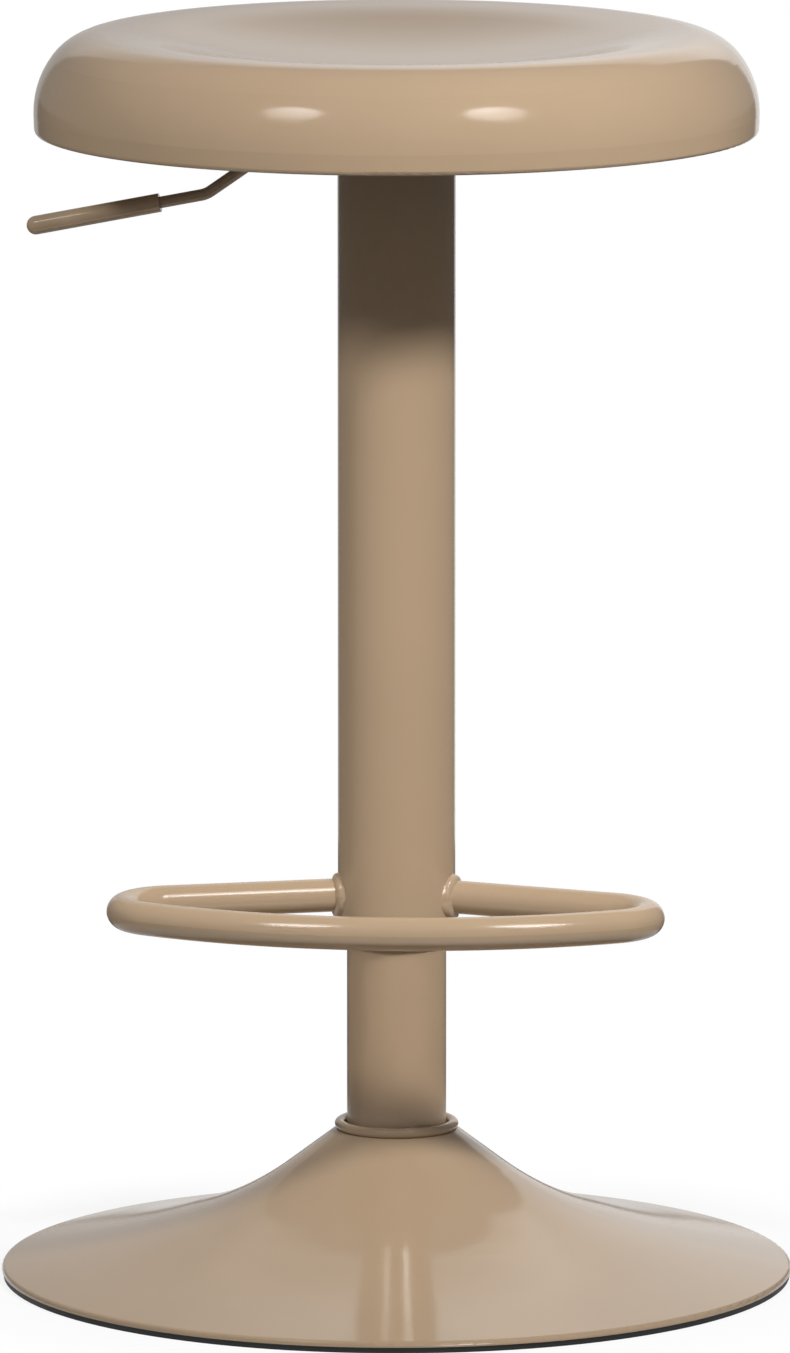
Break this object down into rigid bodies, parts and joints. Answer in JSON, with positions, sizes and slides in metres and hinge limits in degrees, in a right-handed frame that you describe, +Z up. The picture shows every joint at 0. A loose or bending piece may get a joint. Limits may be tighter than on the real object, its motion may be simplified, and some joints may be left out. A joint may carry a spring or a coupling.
{
  "type": "adjustable swivel stool",
  "caption": "Height-adjustable swivel stool: dished round sheet-steel seat on a sliding sleeve with D-shaped footrest and release lever, over a fixed column on a round trumpet base",
  "frame": {"origin": "floor level on the column axis, centre of the round base", "axes": "+Z up along the column; the footrest's front bar is towards -Y; the release lever points towards -X"},
  "size_m": [0.405, 0.405, 0.64],
  "materials": {
    "tan_paint": "glossy powder coat",
    "tan_grip": "smooth gloss",
    "black_rubber": "matte",
    "bush_plastic": "moulded",
    "dark_paint": "satin black",
    "bright_steel": "ground",
    "zinc_steel": "zinc plated"
  },
  "bodies": {
    "base": {"base_shell": "tan_paint", "base_rubber_ring": "black_rubber", "base_inner_plate": "zinc_steel", "base_spring_washer": "zinc_steel", "base_nut": "zinc_steel", "column_collar": "tan_paint", "column_foot": "zinc_steel", "column_tube": "tan_paint", "column_guide_bush": "bush_plastic", "thrust_washer_lower": "bright_steel"},
    "bearing_cage": {"thrust_ball_cage": "bush_plastic", "thrust_balls": "bright_steel"},
    "spindle": {"piston_rod": "bright_steel", "piston_head": "zinc_steel", "thrust_washer_upper": "bright_steel", "rubber_buffer": "black_rubber", "shoulder_washer": "zinc_steel", "rod_end_washer": "zinc_steel", "retaining_clip": "zinc_steel"},
    "carriage": {"gas_cylinder": "dark_paint", "rod_gland": "zinc_steel", "valve_body": "zinc_steel", "taper_socket": "tan_paint", "sleeve_tube": "tan_paint", "sleeve_screws": "zinc_steel", "sleeve_glide_ring": "bush_plastic", "footrest_bar": "tan_paint", "footrest_welds": "tan_paint", "mechanism_housing": "tan_paint", "lever_bracket": "dark_paint", "lever_pivot_pin": "zinc_steel", "seat_plate": "dark_paint", "seat_reinforcement": "dark_paint", "weld_nuts": "zinc_steel", "seat_bolts": "zinc_steel", "seat_washers": "zinc_steel", "seat_shell": "tan_paint"},
    "lever": {"lever_rod": "tan_paint", "lever_grip": "tan_grip"},
    "release_button": {"release_pin": "zinc_steel"}
  },
  "joints": [
    {"name": "seat_swivel", "type": "hinge", "parent": "base", "child": "spindle", "pos_m": [0, 0, 0.062], "axis": [0, 0, 1], "continuous": true},
    {"name": "seat_lift", "type": "slide", "parent": "spindle", "child": "carriage", "axis": [0, 0, 1], "range_m": [-0.09, 0.12]},
    {"name": "bearing_cage_spin", "type": "hinge", "parent": "base", "child": "bearing_cage", "pos_m": [0, 0, 0.062], "axis": [0, 0, 1], "continuous": true},
    {"name": "lever_lift", "type": "hinge", "parent": "carriage", "child": "lever", "pos_m": [-0.02, 0, 0.5953], "axis": [0, 1, 0], "range_deg": [0, 8], "stiffness_Nm_per_rad": 4, "springref_deg": -20.05},
    {"name": "release_pin_press", "type": "slide", "parent": "carriage", "child": "release_button", "axis": [0, 0, -1], "range_m": [0, 0.00294]}
  ],
  "couplings": [
    {"joint": "bearing_cage_spin", "follows": "seat_swivel", "ratio": 0.5},
    {"joint": "release_pin_press", "follows": "lever_lift", "m_per_rad": 0.021}
  ]
}
